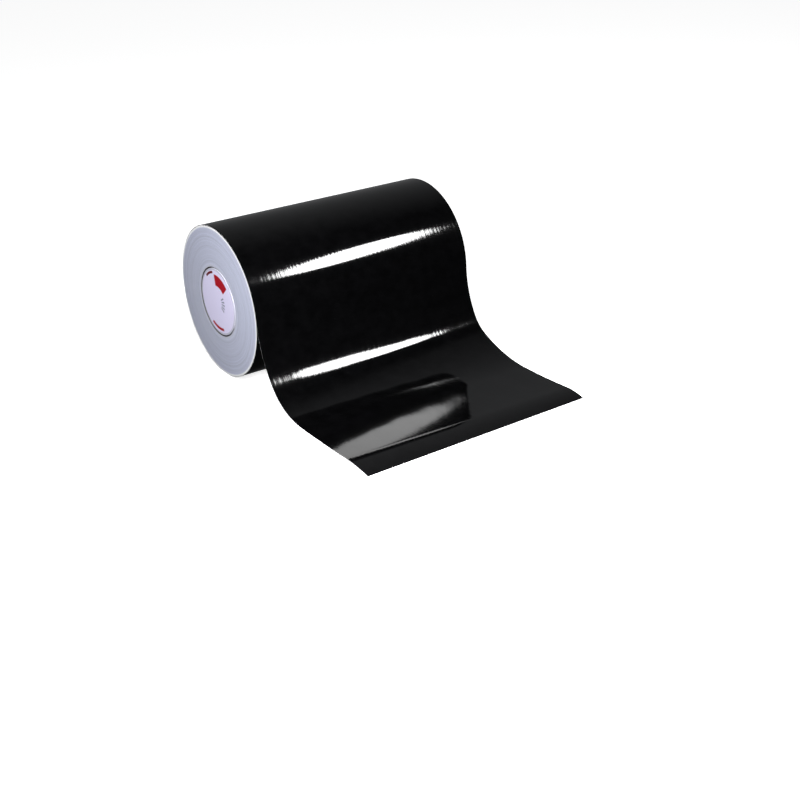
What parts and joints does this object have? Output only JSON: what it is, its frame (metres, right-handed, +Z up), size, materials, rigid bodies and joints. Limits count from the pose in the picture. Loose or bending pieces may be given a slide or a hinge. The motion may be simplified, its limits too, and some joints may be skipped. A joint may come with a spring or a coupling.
{
  "type": "roll of sign vinyl",
  "caption": "Roll of glossy self-adhesive sign film on a release liner, wound on a board core with a pull-out plug in each end and its free tail laid out in front.",
  "frame": {"origin": "middle of the core's bore, on the roll's axis", "axes": "X runs along the roll's axis, with the roll's near end at -X; -Y points towards the tail's cut edge; +Z is up from the surface that the roll and its tail lie on"},
  "size_m": [0.3048, 0.411, 0.1873],
  "materials": {
    "film": "gloss",
    "liner": "satin",
    "pack": "matte",
    "tape": "satin",
    "core_skin": "matte",
    "core_board": "matte",
    "plug": "satin",
    "label": "satin"
  },
  "bodies": {
    "web": {"face_film": "film", "release_liner": "liner"},
    "tail_end": {"face_film_end": "film", "release_liner_end": "liner"},
    "roll": {"wound_pack": "pack", "core_start_tape": "tape", "core_outer_ply": "core_skin", "core_board": "core_board", "core_inner_ply": "core_skin"},
    "near_plug": {"near_end_plug": "plug", "near_plug_label": "label"},
    "far_plug": {"far_end_plug": "plug", "far_plug_label": "label"}
  },
  "joints": [
    {"name": "roll_spin", "type": "hinge", "parent": "web", "child": "roll", "pos_m": [0, 0, 0], "axis": [1, 0, 0], "continuous": true},
    {"name": "tail_lift", "type": "hinge", "parent": "web", "child": "tail_end", "pos_m": [0, -0.20098, -0.09335], "axis": [-1, 0, 0], "range_deg": [0, 60]},
    {"name": "near_plug_pull", "type": "slide", "parent": "roll", "child": "near_plug", "axis": [-1, 0, 0], "range_m": [0, 0.12]},
    {"name": "far_plug_pull", "type": "slide", "parent": "roll", "child": "far_plug", "axis": [1, 0, 0], "range_m": [0, 0.12]}
  ]
}
